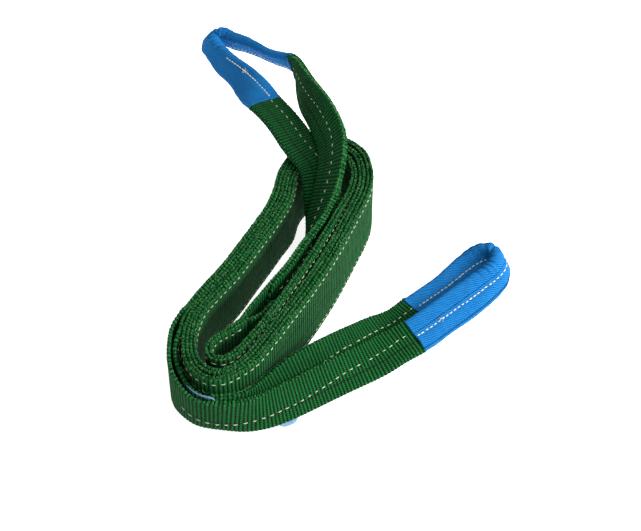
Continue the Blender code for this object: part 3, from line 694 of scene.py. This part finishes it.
def strap(name, path, start, end, seed, thin=None, caps=(True, True), turn=math.inf):
    """Ribbed, folded webbing along a path; thin: (from, to) stretch inside a sleeve; turn:
    where the fold changes to the other face."""
    first = np.searchsorted(path.length, start)
    last = min(np.searchsorted(path.length, end), len(path.length) - 1)
    rng = np.random.default_rng(seed)
    rings, uv = [], []
    for i in range(first, last + 1):
        s = path.length[i]
        k = 0.0
        if thin:
            k = float(smooth(s, thin[0] + 2, thin[0] + 9)
                      * (1 - smooth(s, thin[1] - 9, thin[1] - 2)))
        points, normals, across, edge = section(path.flap[i], PLY_THIN - 0.9 * k, 1 - 0.44 * k,
                                                PLY_PITCH - PLY_THIN - 0.5 * k)
        rise = RIB_RISE * rib_height(s) * (1 - 0.6 * k)
        grain = rng.normal(0, 0.05, len(points)) * (1 + 2.5 * edge) * (1 - k)
        points = points + normals * (rise * (1 + 0.5 * edge) + grain)[:, None]
        if s > turn:
            points = np.roll((points * np.array([-1, 1]))[::-1], 5, 0)
            across = np.roll(across[::-1], 5)
        rings.append(path.centre[i] + points[:, :1] * path.side[i] + points[:, 1:] * path.width[i])
        uv.append(np.stack([np.full(len(across), s), across], -1))
    return skin(name, np.array(rings), np.array(uv), WEBBING, caps)


outer_ply = flat_ply("sling_body_outer_ply", -1, start=19.5, seed=11)
inner_ply = flat_ply("sling_body_inner_ply", 1, start=0.0, seed=23)
near_leg = strap("outer_eye_near_leg", outer, 0, NEAR_JOIN, seed=31, caps=(True, False))
tip = strap("outer_eye_tip", outer, NEAR_JOIN, FAR_JOIN, seed=32, thin=(OUT_0, OUT_1),
            caps=(False, False), turn=OUT_MID)
far_leg = strap("outer_eye_far_leg", outer, FAR_JOIN, OUTER_END, seed=33, caps=(False, True),
                turn=OUT_MID)
inner_loop = strap("inner_eye_loop", inner, 0, INNER_END, seed=34, thin=(IN_0, IN_1))


# ------------------------------------------------------------------ wear sleeves
def oblong(half_thick, half_wide, radius, extra, flat_count=21, round_count=5):
    """Rounded oblong outline and its normals, starting on the +side face; extra: more places
    across both faces."""
    flat = np.linspace(-half_wide + radius, half_wide - radius, flat_count)
    flat = np.sort(np.concatenate([flat, np.asarray(extra, float)]))
    points, normals = [], []
    for sign in (1, -1):
        for y in flat[::sign]:
            points.append((sign * half_thick, y))
            normals.append((sign, 0))
        for k in range(1, round_count + 1):
            cos = math.cos(math.pi * k / (round_count + 1))
            sin = math.sin(math.pi * k / (round_count + 1))
            points.append((sign * half_thick * cos, sign * (half_wide - radius + radius * sin)))
            normals.append((sign * cos, sign * sin))
    return np.array(points), np.array(normals)


def sleeve_form(s, middle, slim):
    """How near the middle of the bend s is, and how much thicker and narrower the sleeve is
    there than plain."""
    bend = np.exp(-((s - middle) / 24.0) ** 2)
    arm = slim * (1 - smooth(np.abs(s - middle - 4), 34, 90))
    return bend, 1 + 0.45 * bend + 0.35 * arm, 1 - 0.12 * bend - 0.24 * arm


def puff(across):
    """Bulge of the sleeve's faces."""
    return 0.55 * (1 - (across / SLEEVE_B) ** 2)


def lumps(s, outline, along, across, around, layer, size):
    return size * np.array([
        noise.noise(Vector((s * along, y * across, around * x / SLEEVE_A + layer)))
        for x, y in outline])


def sleeve(name, path, start, end, middle, seams, layer, lap=False, slim=0.0):
    """Fabric wrapped round a loop.  middle: of the bend; seams: their places across the +side
    and -side faces; lap: the cloth laps over itself on the +side face before the bend."""
    first, last = np.searchsorted(path.length, start), np.searchsorted(path.length, end)
    lap_edge = seams[0] + 2.9
    extra = (lap_edge - 0.12, lap_edge + 0.12, lap_edge + 0.7) if lap else ()

    def ring(i, points):
        return path.centre[i] + points[:, :1] * path.side[i] + points[:, 1:] * path.width[i]

    rings, uv, linings = [], [], []
    for i in range(first, last + 1):
        s = path.length[i]
        bend, thicker, narrower = sleeve_form(s, middle, slim)
        outline, normals = oblong(SLEEVE_A * thicker, SLEEVE_B * narrower, 3.0 + 1.2 * bend, extra)
        across = outline[:, 1]
        front, back = outline[:, 0] > 0.3 * SLEEVE_A, outline[:, 0] < -0.3 * SLEEVE_A
        out = puff(across)
        for face, seam in zip((front, back), seams):
            out -= np.where(face, SEAM_PULL * np.exp(-((across - seam) / 1.6) ** 2), 0)
        if lap:
            fade = 1 - smooth(s, middle - 8, middle + 14)
            out += (np.where(front & (across < lap_edge), 0.7, 0) * fade
                    * smooth(across, -SLEEVE_B, -SLEEVE_B + 10))
            beside = front & (across > lap_edge) & (across < lap_edge + 1.4)
            out -= np.where(beside, 0.7, 0) * fade
        # creases gather on the inside of the bend
        crease = abs(math.sin(math.pi * s / 6.6 + 0.9 * math.sin(s / 5.0)))
        folds = (crease ** 0.6 - 0.65) * 3.0 + math.sin(2 * math.pi * s / 4.3 + 1.3) * 0.4
        out += np.maximum(folds * bend * smooth(across, -2, SLEEVE_B), -1.1)
        out += 0.25 * bend * math.sin(2 * math.pi * s / 11.0)
        out += lumps(s, outline, along=0.055, across=0.11, around=3.0, layer=layer, size=0.55)
        out += lumps(s, outline, along=0.16, across=0.22, around=2.0, layer=layer + 9, size=0.28)
        # the mouths flare
        out += 0.4 * (1 - smooth(s, start, start + 5)) + 0.4 * smooth(s, end - 5, end) - 0.2
        points = outline + normals * out[:, None]
        rings.append(ring(i, points))
        uv.append(np.stack([np.full(len(outline), s), length_along(outline)], -1))
        linings.append(points - normals * SLEEVE_T)

    # turn the cloth in at both mouths, so that its thickness and the dark inside show
    def lining(i, points, way):
        inside = (int(np.clip(i + way * depth / STEP, 0, len(path.length) - 1))
                  for depth in (0.0, 6.0))
        return np.array([ring(j, points) for j in inside])

    rings = np.concatenate([lining(first, linings[0], 1)[::-1], np.array(rings),
                            lining(last, linings[-1], -1)])
    uv = np.array([uv[0]] * 2 + uv + [uv[-1]] * 2)
    return skin(name, rings, uv, SLEEVE_CLOTH, caps=(False, False))


outer_sleeve = sleeve("outer_eye_sleeve", outer, OUT_0, OUT_1, OUT_MID, OUTER_SEAMS, layer=5,
                      lap=True)
inner_sleeve = sleeve("inner_eye_sleeve", inner, IN_0, IN_1, IN_MID, INNER_SEAMS, layer=8,
                      slim=1.0)


# ------------------------------------------------------------------ stitches
def dash_mesh(name, rows, radius, material, sink, rise):
    """Stitches: each a short capsule whose ends dive into the fabric by sink and whose middle
    stands up by rise.  rows: list of (points (n,5,3), normals (n,5,3))."""
    points = np.concatenate([row[0] for row in rows])
    normals = np.concatenate([row[1] for row in rows])
    count = len(points)
    lift = np.array([-sink, rise * 0.7, rise, rise * 0.7, -sink])
    radii = np.array([0.45, 0.9, 1.0, 0.9, 0.45]) * radius
    sides = unit(np.cross(unit(np.gradient(points, axis=1)), normals))
    middle = points + normals * lift[None, :, None]
    angles = np.arange(6) * math.pi / 3
    vertices = (middle[:, :, None]
                + (radii[:, None] * np.cos(angles))[None, ..., None] * sides[:, :, None]
                + (radii[:, None] * np.sin(angles))[None, ..., None] * normals[:, :, None])
    base = (np.arange(count) * 30)[:, None, None]
    i = (np.arange(4) * 6)[None, :, None]
    j = np.arange(6)[None, None, :]
    k = (j + 1) % 6
    quads = np.broadcast_arrays(base + i + j, base + i + k, base + i + 6 + k, base + i + 6 + j)
    faces = np.stack(quads, -1).reshape(-1, 4).tolist()
    for q in range(count):
        faces.append([q * 30 + x for x in range(5, -1, -1)])
        faces.append([q * 30 + 24 + x for x in range(6)])
    along = np.broadcast_to(np.arange(5)[None, :, None] * 0.9, (count, 5, 6))
    around = np.broadcast_to(np.arange(6)[None, None, :] / 6.0, (count, 5, 6))
    uv = np.stack([along, around], -1).reshape(-1, 2)
    return outward(make_mesh(name, vertices.reshape(-1, 3), faces, uv, material))


def dash_places(rng, start, end, pitch, length, jitter, stretch):
    """Lengths of the five points of each dash of a row."""
    count = int((end - start) / pitch)
    middles = start + (np.arange(count) + 0.5) * pitch + rng.normal(0, jitter, count)
    lengths = length * rng.uniform(*stretch, count)
    return middles[:, None] + lengths[:, None] * np.linspace(-0.5, 0.5, 5)[None, :]


def stitch_row(path, start, end, pitch, length, face, depth, across, seed, jitter=0.25):
    """Dashes along a loop on its +side (1) or -side (-1) face; depth is the distance from its
    middle.  depth and across are numbers or functions of the place."""
    rng = np.random.default_rng(seed)
    s = dash_places(rng, start, end, pitch, length, jitter, stretch=(0.85, 1.12))
    centre, side, width = sample_unit(path, s)
    place_across = across(s, centre) if callable(across) else np.full(s.shape, float(across))
    place_across = place_across + rng.normal(0, 0.12, len(s))[:, None]
    out = depth(s, place_across) if callable(depth) else np.full(s.shape, depth)
    points = centre + side * (face * out)[..., None] + width * place_across[..., None]
    return points, side * face


def body_row(start, end, depth, across, seed, pitch=6.1, length=3.7):
    """Dashes along the body; depth is signed like the side direction."""
    rng = np.random.default_rng(seed)
    s = dash_places(rng, start, end, pitch, length, jitter=0.3, stretch=(0.8, 1.15))
    centre, side, width = sample(body, s)
    across = across + rng.normal(0, 0.2, len(s))[:, None, None]
    return centre + side * depth + width * across, side * math.copysign(1, depth)


def seam_place(s, centre):
    """Place of the row that closes the fold of a leg of the outer eye, by its x."""
    drop = np.interp(centre[..., 0], [-80, -50, -17, 0, 20, 55, 66],
                     [23, 20, 19, 17, 14.5, 13.5, 12])
    return half_height(outer, s) - drop


def leg_seam(path, start, end, face, seed, pitch=7.0, across=seam_place):
    """Rows on both faces of a leg, the given face first."""
    depth = HALF_PITCH + PLY_THIN / 2 + RIB_RISE
    return [stitch_row(path, start, end, pitch, 3.7, way, depth, across, seed + k)
            for k, way in enumerate((face, -face))]


def sleeve_depth(middle, lap=False, slim=0.0):
    def depth(s, across):
        thicker = sleeve_form(s, middle, slim)[1]
        return SLEEVE_A * thicker + puff(across) - SEAM_PULL + (0.62 if lap else 0.0)
    return depth


BODY_STITCH = dict(radius=0.34, material=CREAM_THREAD, sink=0.4, rise=0.08)
LEG_STITCH = dict(radius=0.38, material=CREAM_THREAD, sink=0.45, rise=0.08)
SLEEVE_STITCH = dict(radius=0.5, material=SLEEVE_THREAD, sink=0.5, rise=0.25)
BODY_FACE = HALF_PITCH + PLY_THIN / 2 + RIB_RISE * 0.8
BODY_SEAM = 25.6              # rows along the body, from its middle

# both edges of both faces, and a block of short rows at the outer throat
body_stitches = dash_mesh("body_stitches", [
    body_row(24, BODY_END - 4, -BODY_FACE, BODY_SEAM, seed=1),
    body_row(24, BODY_END - 4, -BODY_FACE, -BODY_SEAM, seed=2),
    body_row(6, BODY_END - 4, BODY_FACE, BODY_SEAM, seed=3),
    body_row(6, BODY_END - 4, BODY_FACE, -BODY_SEAM, seed=4),
    *(body_row(22, 70, -BODY_FACE, across, seed=40 + q, pitch=4.6, length=3.4)
      for q, across in enumerate((-18, -10.5, -3.5, 3.5, 10.5, 18)))], **BODY_STITCH)
near_stitches = dash_mesh("outer_near_leg_stitches",
                          leg_seam(outer, 70, NEAR_JOIN, 1, seed=1), **LEG_STITCH)
far_stitches = dash_mesh("outer_far_leg_stitches",
                         leg_seam(outer, FAR_JOIN, OUTER_END - 60, -1, seed=3), **LEG_STITCH)
tip_stitches = dash_mesh("outer_tip_stitches",
                         leg_seam(outer, NEAR_JOIN, OUT_0 + 2, 1, seed=5)
                         + leg_seam(outer, OUT_1 - 2, FAR_JOIN, -1, seed=7), **LEG_STITCH)
inner_stitches = dash_mesh(
    "inner_leg_stitches",
    leg_seam(inner, 50, IN_0 + 2, -1, seed=9, pitch=8.2, across=3.2)
    + leg_seam(inner, IN_1 - 2, INNER_END - 55, 1, seed=11, pitch=8.6, across=4.4), **LEG_STITCH)
outer_sleeve_stitches = dash_mesh("outer_sleeve_stitches", [
    stitch_row(outer, OUT_0 + 1, OUT_0 + 138, 4.4, 3.5, 1, sleeve_depth(OUT_MID, lap=True),
               OUTER_SEAMS[0], seed=13, jitter=0.15),
    stitch_row(outer, OUT_1 - 96, OUT_1 - 1, 4.0, 3.4, -1, sleeve_depth(OUT_MID),
               OUTER_SEAMS[1], seed=14, jitter=0.15)], **SLEEVE_STITCH)
inner_depth = sleeve_depth(IN_MID, slim=1.0)
inner_rows = []
for face, seed in ((1, 15), (-1, 17)):
    inner_rows += [
        stitch_row(inner, IN_0 + 1, IN_0 + 82, 4.0, 3.3, face, inner_depth, INNER_SEAMS[0],
                   seed=seed, jitter=0.15),
        stitch_row(inner, IN_1 - 76, IN_1 - 1, 4.0, 3.4, -face, inner_depth, INNER_SEAMS[1],
                   seed=seed + 1, jitter=0.15)]
inner_sleeve_stitches = dash_mesh("inner_sleeve_stitches", inner_rows, **SLEEVE_STITCH)


# ------------------------------------------------------------------ loose fibres
def fuzz(name, base, directions, material, seed, shortest, longest, radius):
    """Short bent fibres: base points and main directions (n,3)."""
    rng = np.random.default_rng(seed)
    count = len(base)
    ahead = unit(directions + rng.normal(0, 0.55, (count, 3)))
    first = unit(np.cross(ahead, rng.normal(0, 1, (count, 3))))
    second = np.cross(ahead, first)
    length = rng.uniform(shortest, longest, count)[:, None]
    ahead_end = unit(ahead + rng.normal(0, 0.5, (count, 3)))
    middle = base + ahead * length * 0.5
    vertices = []
    for centre, around in ((base, radius), (middle, radius * 0.8)):
        for k in range(3):
            cos, sin = math.cos(k * 2.0944), math.sin(k * 2.0944)
            vertices.append(centre + (first * cos + second * sin) * around)
    vertices.append(middle + ahead_end * length * 0.5)
    vertices = np.stack(vertices, 1).reshape(-1, 3)
    faces = []
    for start in range(0, 7 * count, 7):
        for j in range(3):
            k = (j + 1) % 3
            faces.append((start + j, start + k, start + 3 + k, start + 3 + j))
            faces.append((start + 3 + j, start + 3 + k, start + 6))
    return make_mesh(name, vertices, faces, np.zeros((len(vertices), 2)), material)


def tuft(name, path, s, face, depth, across, seed):
    """Frayed end of a sleeve thread."""
    rng = np.random.default_rng(seed)
    centre, side, width = sample_unit(path, np.array([s]))
    base = centre + side * face * depth + width * across + rng.normal(0, 0.7, (16, 3))
    directions = side * face + rng.normal(0, 0.9, (16, 3))
    return fuzz(name, base, directions, SLEEVE_THREAD, seed, shortest=1.5, longest=3.4,
                radius=0.24)


def body_fuzz(count, side_sign, edge, seed):
    """Fibre places on the upper (1) or lower (-1) edge of one ply of the body."""
    rng = np.random.default_rng(seed)
    centre, side, width = sample(body, rng.uniform(20, BODY_END - 2, count))
    base = (centre + side * (side_sign * HALF_PITCH + rng.normal(0, 0.5, count)[:, None])
            + width * (edge * 29.7 + (0.9 if edge > 0 else 0)))
    return base, width * edge + side * rng.normal(0, 0.6, count)[:, None]


def leg_fuzz(path, start, end, count, seed):
    """Fibre places on the selvage of a leg."""
    rng = np.random.default_rng(seed)
    s = rng.uniform(start, end, count)
    centre, side, width = sample_unit(path, s)
    base = (centre + side * (HALF_PITCH + rng.normal(0, 0.5, count))[:, None]
            + width * (half_height(path, s) - 0.2)[:, None])
    return base, width + side * rng.normal(0, 0.5, count)[:, None]


def fibres(name, sets, seed, shortest=0.5, longest=1.6, radius=0.1):
    base, directions = (np.concatenate(part) for part in zip(*sets))
    return fuzz(name, base, directions, FLUFF, seed, shortest, longest, radius)


outer_tuft = tuft("outer_sleeve_thread_end", outer, OUT_0 + 27, 1, SLEEVE_A + 0.9,
                  OUTER_SEAMS[0] + 0.2, seed=3)
inner_tuft = tuft("inner_sleeve_thread_end", inner, IN_1 - 46, -1, SLEEVE_A + 1.2,
                  INNER_SEAMS[1] + 0.1, seed=4)
body_fibres = fibres("body_selvage_fibres",
                     [body_fuzz(2600, -1, 1, seed=1), body_fuzz(2600, 1, 1, seed=2),
                      body_fuzz(250, -1, -1, seed=3)], seed=5, longest=1.5, radius=0.11)
near_fibres = fibres("near_leg_fibres", [leg_fuzz(outer, 4, NEAR_JOIN, 420, seed=6)], seed=6)
far_fibres = fibres("far_leg_fibres", [leg_fuzz(outer, FAR_JOIN, OUTER_END - 2, 420, seed=7)],
                    seed=7)
tip_fibres = fibres("tip_fibres", [leg_fuzz(outer, NEAR_JOIN, OUT_0 - 1, 90, seed=8),
                                   leg_fuzz(outer, OUT_1 + 1, FAR_JOIN, 90, seed=9)], seed=8)
inner_fibres = fibres("inner_eye_fibres",
                      [leg_fuzz(inner, 2, IN_0 - 1, 620, seed=10),
                       leg_fuzz(inner, IN_1 + 1, INNER_END - 2, 720, seed=11)],
                      seed=9, shortest=0.7, longest=2.3, radius=0.12)


# ------------------------------------------------------------------ label
def label_sheet():
    """Thin sheet on the -side face of the outer eye's near leg, near the outer throat."""
    s = np.arange(64.0, 176.0, 1.5)
    half_thick = 0.16
    centre, side, width = sample_unit(outer, s)
    half = half_height(outer, s)
    # upper and lower edges, from the middle of the leg
    top = half + 1.0 - 14 * smooth(s, 96, 108)
    top = top - 3.0 * (1 - smooth(s, 64, 80)) + 0.6 * smooth(s, 84, 94)
    low = -half + 6 - 11.0 * smooth(s, 142, 156) + 9 * smooth(s, 162, 174)
    back = np.interp(s, [40, 63, 100, 141, 160], [2.9, 3.0, 3.5, 3.9, 3.7])
    down = np.linspace(0, 1, 12)
    across = top[:, None] + (low - top)[:, None] * down
    ripple = 0.12 * np.sin(s / 6.0)[:, None] * np.sin(down * 5)
    faces = []
    for sign in (1, -1):
        out = -back[:, None] + ripple + sign * half_thick
        faces.append(centre[:, None] + side[:, None] * out[..., None]
                     + width[:, None] * across[..., None])
    rings = np.concatenate([faces[0], faces[1][:, ::-1]], 1)
    uv = np.stack([np.broadcast_to(s[:, None], rings.shape[:2]),
                   np.concatenate([across, across[:, ::-1]], 1)], -1)
    return skin("label_sheet", rings, uv, LABEL_FILM)


label = label_sheet()

# ------------------------------------------------------------------ attach to the frame
for ob in (outer_ply, inner_ply, body_stitches, body_fibres, label):
    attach(ob, "coil")
for ob in (near_leg, far_leg, near_stitches, far_stitches, near_fibres, far_fibres):
    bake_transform(ob)
for ob in (tip, outer_sleeve, tip_stitches, outer_sleeve_stitches, tip_fibres, outer_tuft):
    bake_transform(ob)
for ob in (inner_loop, inner_stitches, inner_fibres):
    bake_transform(ob)
for ob in (inner_sleeve, inner_sleeve_stitches, inner_tuft):
    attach(ob, "inner_eye")

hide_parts("body_outer_ply")
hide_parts("body_inner_ply")
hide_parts("body_seam_upper", "body_seam_lower", "lining_seam_upper",
            "lining_seam_lower")
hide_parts("outer_near_leg_root", "outer_near_leg")
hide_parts("outer_far_leg_root", "outer_far_leg")
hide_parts("outer_near_leg_root_seam", "outer_near_leg_seam")
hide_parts("outer_far_leg_seam")
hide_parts("outer_tip_webbing")
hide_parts("outer_wear_sleeve")
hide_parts("outer_sleeve_near_seam", "outer_sleeve_far_seam")
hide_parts("inner_right_leg_root", "inner_left_leg_root", "inner_eye_webbing")
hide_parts("inner_right_leg_seam", "inner_left_leg_seam")
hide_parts("inner_wear_sleeve")
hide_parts("inner_sleeve_left_seam", "inner_sleeve_right_seam")
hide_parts("label_leaf")


# ------------------------------------------------------------------ floor, light, camera (m)
def floor_material():
    sh = Shader("floor_white")
    pale = sh.ramp(sh.solid_noise(scale=3.0), stops=[(0.3, (0.90,) * 3), (0.7, (0.92,) * 3)])
    sh.principled.inputs["Emission Color"].default_value = (1, 1, 1, 1)
    sh.principled.inputs["Emission Strength"].default_value = 0.85
    return sh.finish(pale, rough=0.9, specular=0.0)


def add_floor(half=4, z=-0.0006):
    mesh = bpy.data.meshes.new("floor")
    corners = [(-half, -half, z), (half, -half, z), (half, half, z), (-half, half, z)]
    mesh.from_pydata(corners, [], [(0, 1, 2, 3)])
    mesh.materials.append(floor_material())
    floor = bpy.data.objects.new("floor", mesh)
    bpy.context.scene.collection.objects.link(floor)


def add_world(light=0.42, seen=1.0):
    """White world, brighter where the camera sees it than as a light."""
    world = bpy.data.worlds.new("studio")
    bpy.context.scene.world = world
    world.use_nodes = True
    tree = world.node_tree
    background = tree.nodes["Background"]
    background.inputs["Color"].default_value = (1, 1, 1, 1)
    background.inputs["Strength"].default_value = light
    ray = tree.nodes.new("ShaderNodeLightPath")
    level = tree.nodes.new("ShaderNodeMapRange")
    level.inputs["To Min"].default_value = light
    level.inputs["To Max"].default_value = seen
    tree.links.new(ray.outputs["Is Camera Ray"], level.inputs["Value"])
    tree.links.new(level.outputs["Result"], background.inputs["Strength"])


def turn_to(ob, target):
    """Point a light or camera at a target."""
    ob.rotation_euler = (target - ob.location).to_track_quat("-Z", "Y").to_euler()


def add_light(name, location, size, power):
    lamp = bpy.data.lights.new(name, "AREA")
    lamp.shape = "DISK"
    lamp.size = size
    lamp.energy = power
    ob = bpy.data.objects.new(name, lamp)
    ob.location = location
    turn_to(ob, Vector((0, 0, 0.03)))
    bpy.context.scene.collection.objects.link(ob)


def add_camera(distance=1.52, elevation=math.radians(50.0)):
    """Camera on the near side, looking down at the zero point of the tables."""
    lens = bpy.data.cameras.new("camera")
    lens.sensor_width = 36.0
    lens.lens = 101.7
    lens.clip_start = 0.01
    camera = bpy.data.objects.new("camera", lens)
    target = Vector((-CENTRE[0] * MM, -CENTRE[1] * MM, 0.0))
    camera.location = target + Vector((0, -distance * math.cos(elevation),
                                       distance * math.sin(elevation)))
    turn_to(camera, target)
    bpy.context.scene.collection.objects.link(camera)
    bpy.context.scene.camera = camera


add_floor()
add_world()
add_light("key", location=(1.4, -0.42, 0.95), size=0.6, power=46)
add_light("top", location=(0.75, -0.35, 1.6), size=0.7, power=12)
add_light("fill", location=(-1.1, -0.8, 0.9), size=1.0, power=4)
add_camera()
bpy.context.scene.view_settings.view_transform = "Standard"
bpy.context.scene.view_settings.look = "None"
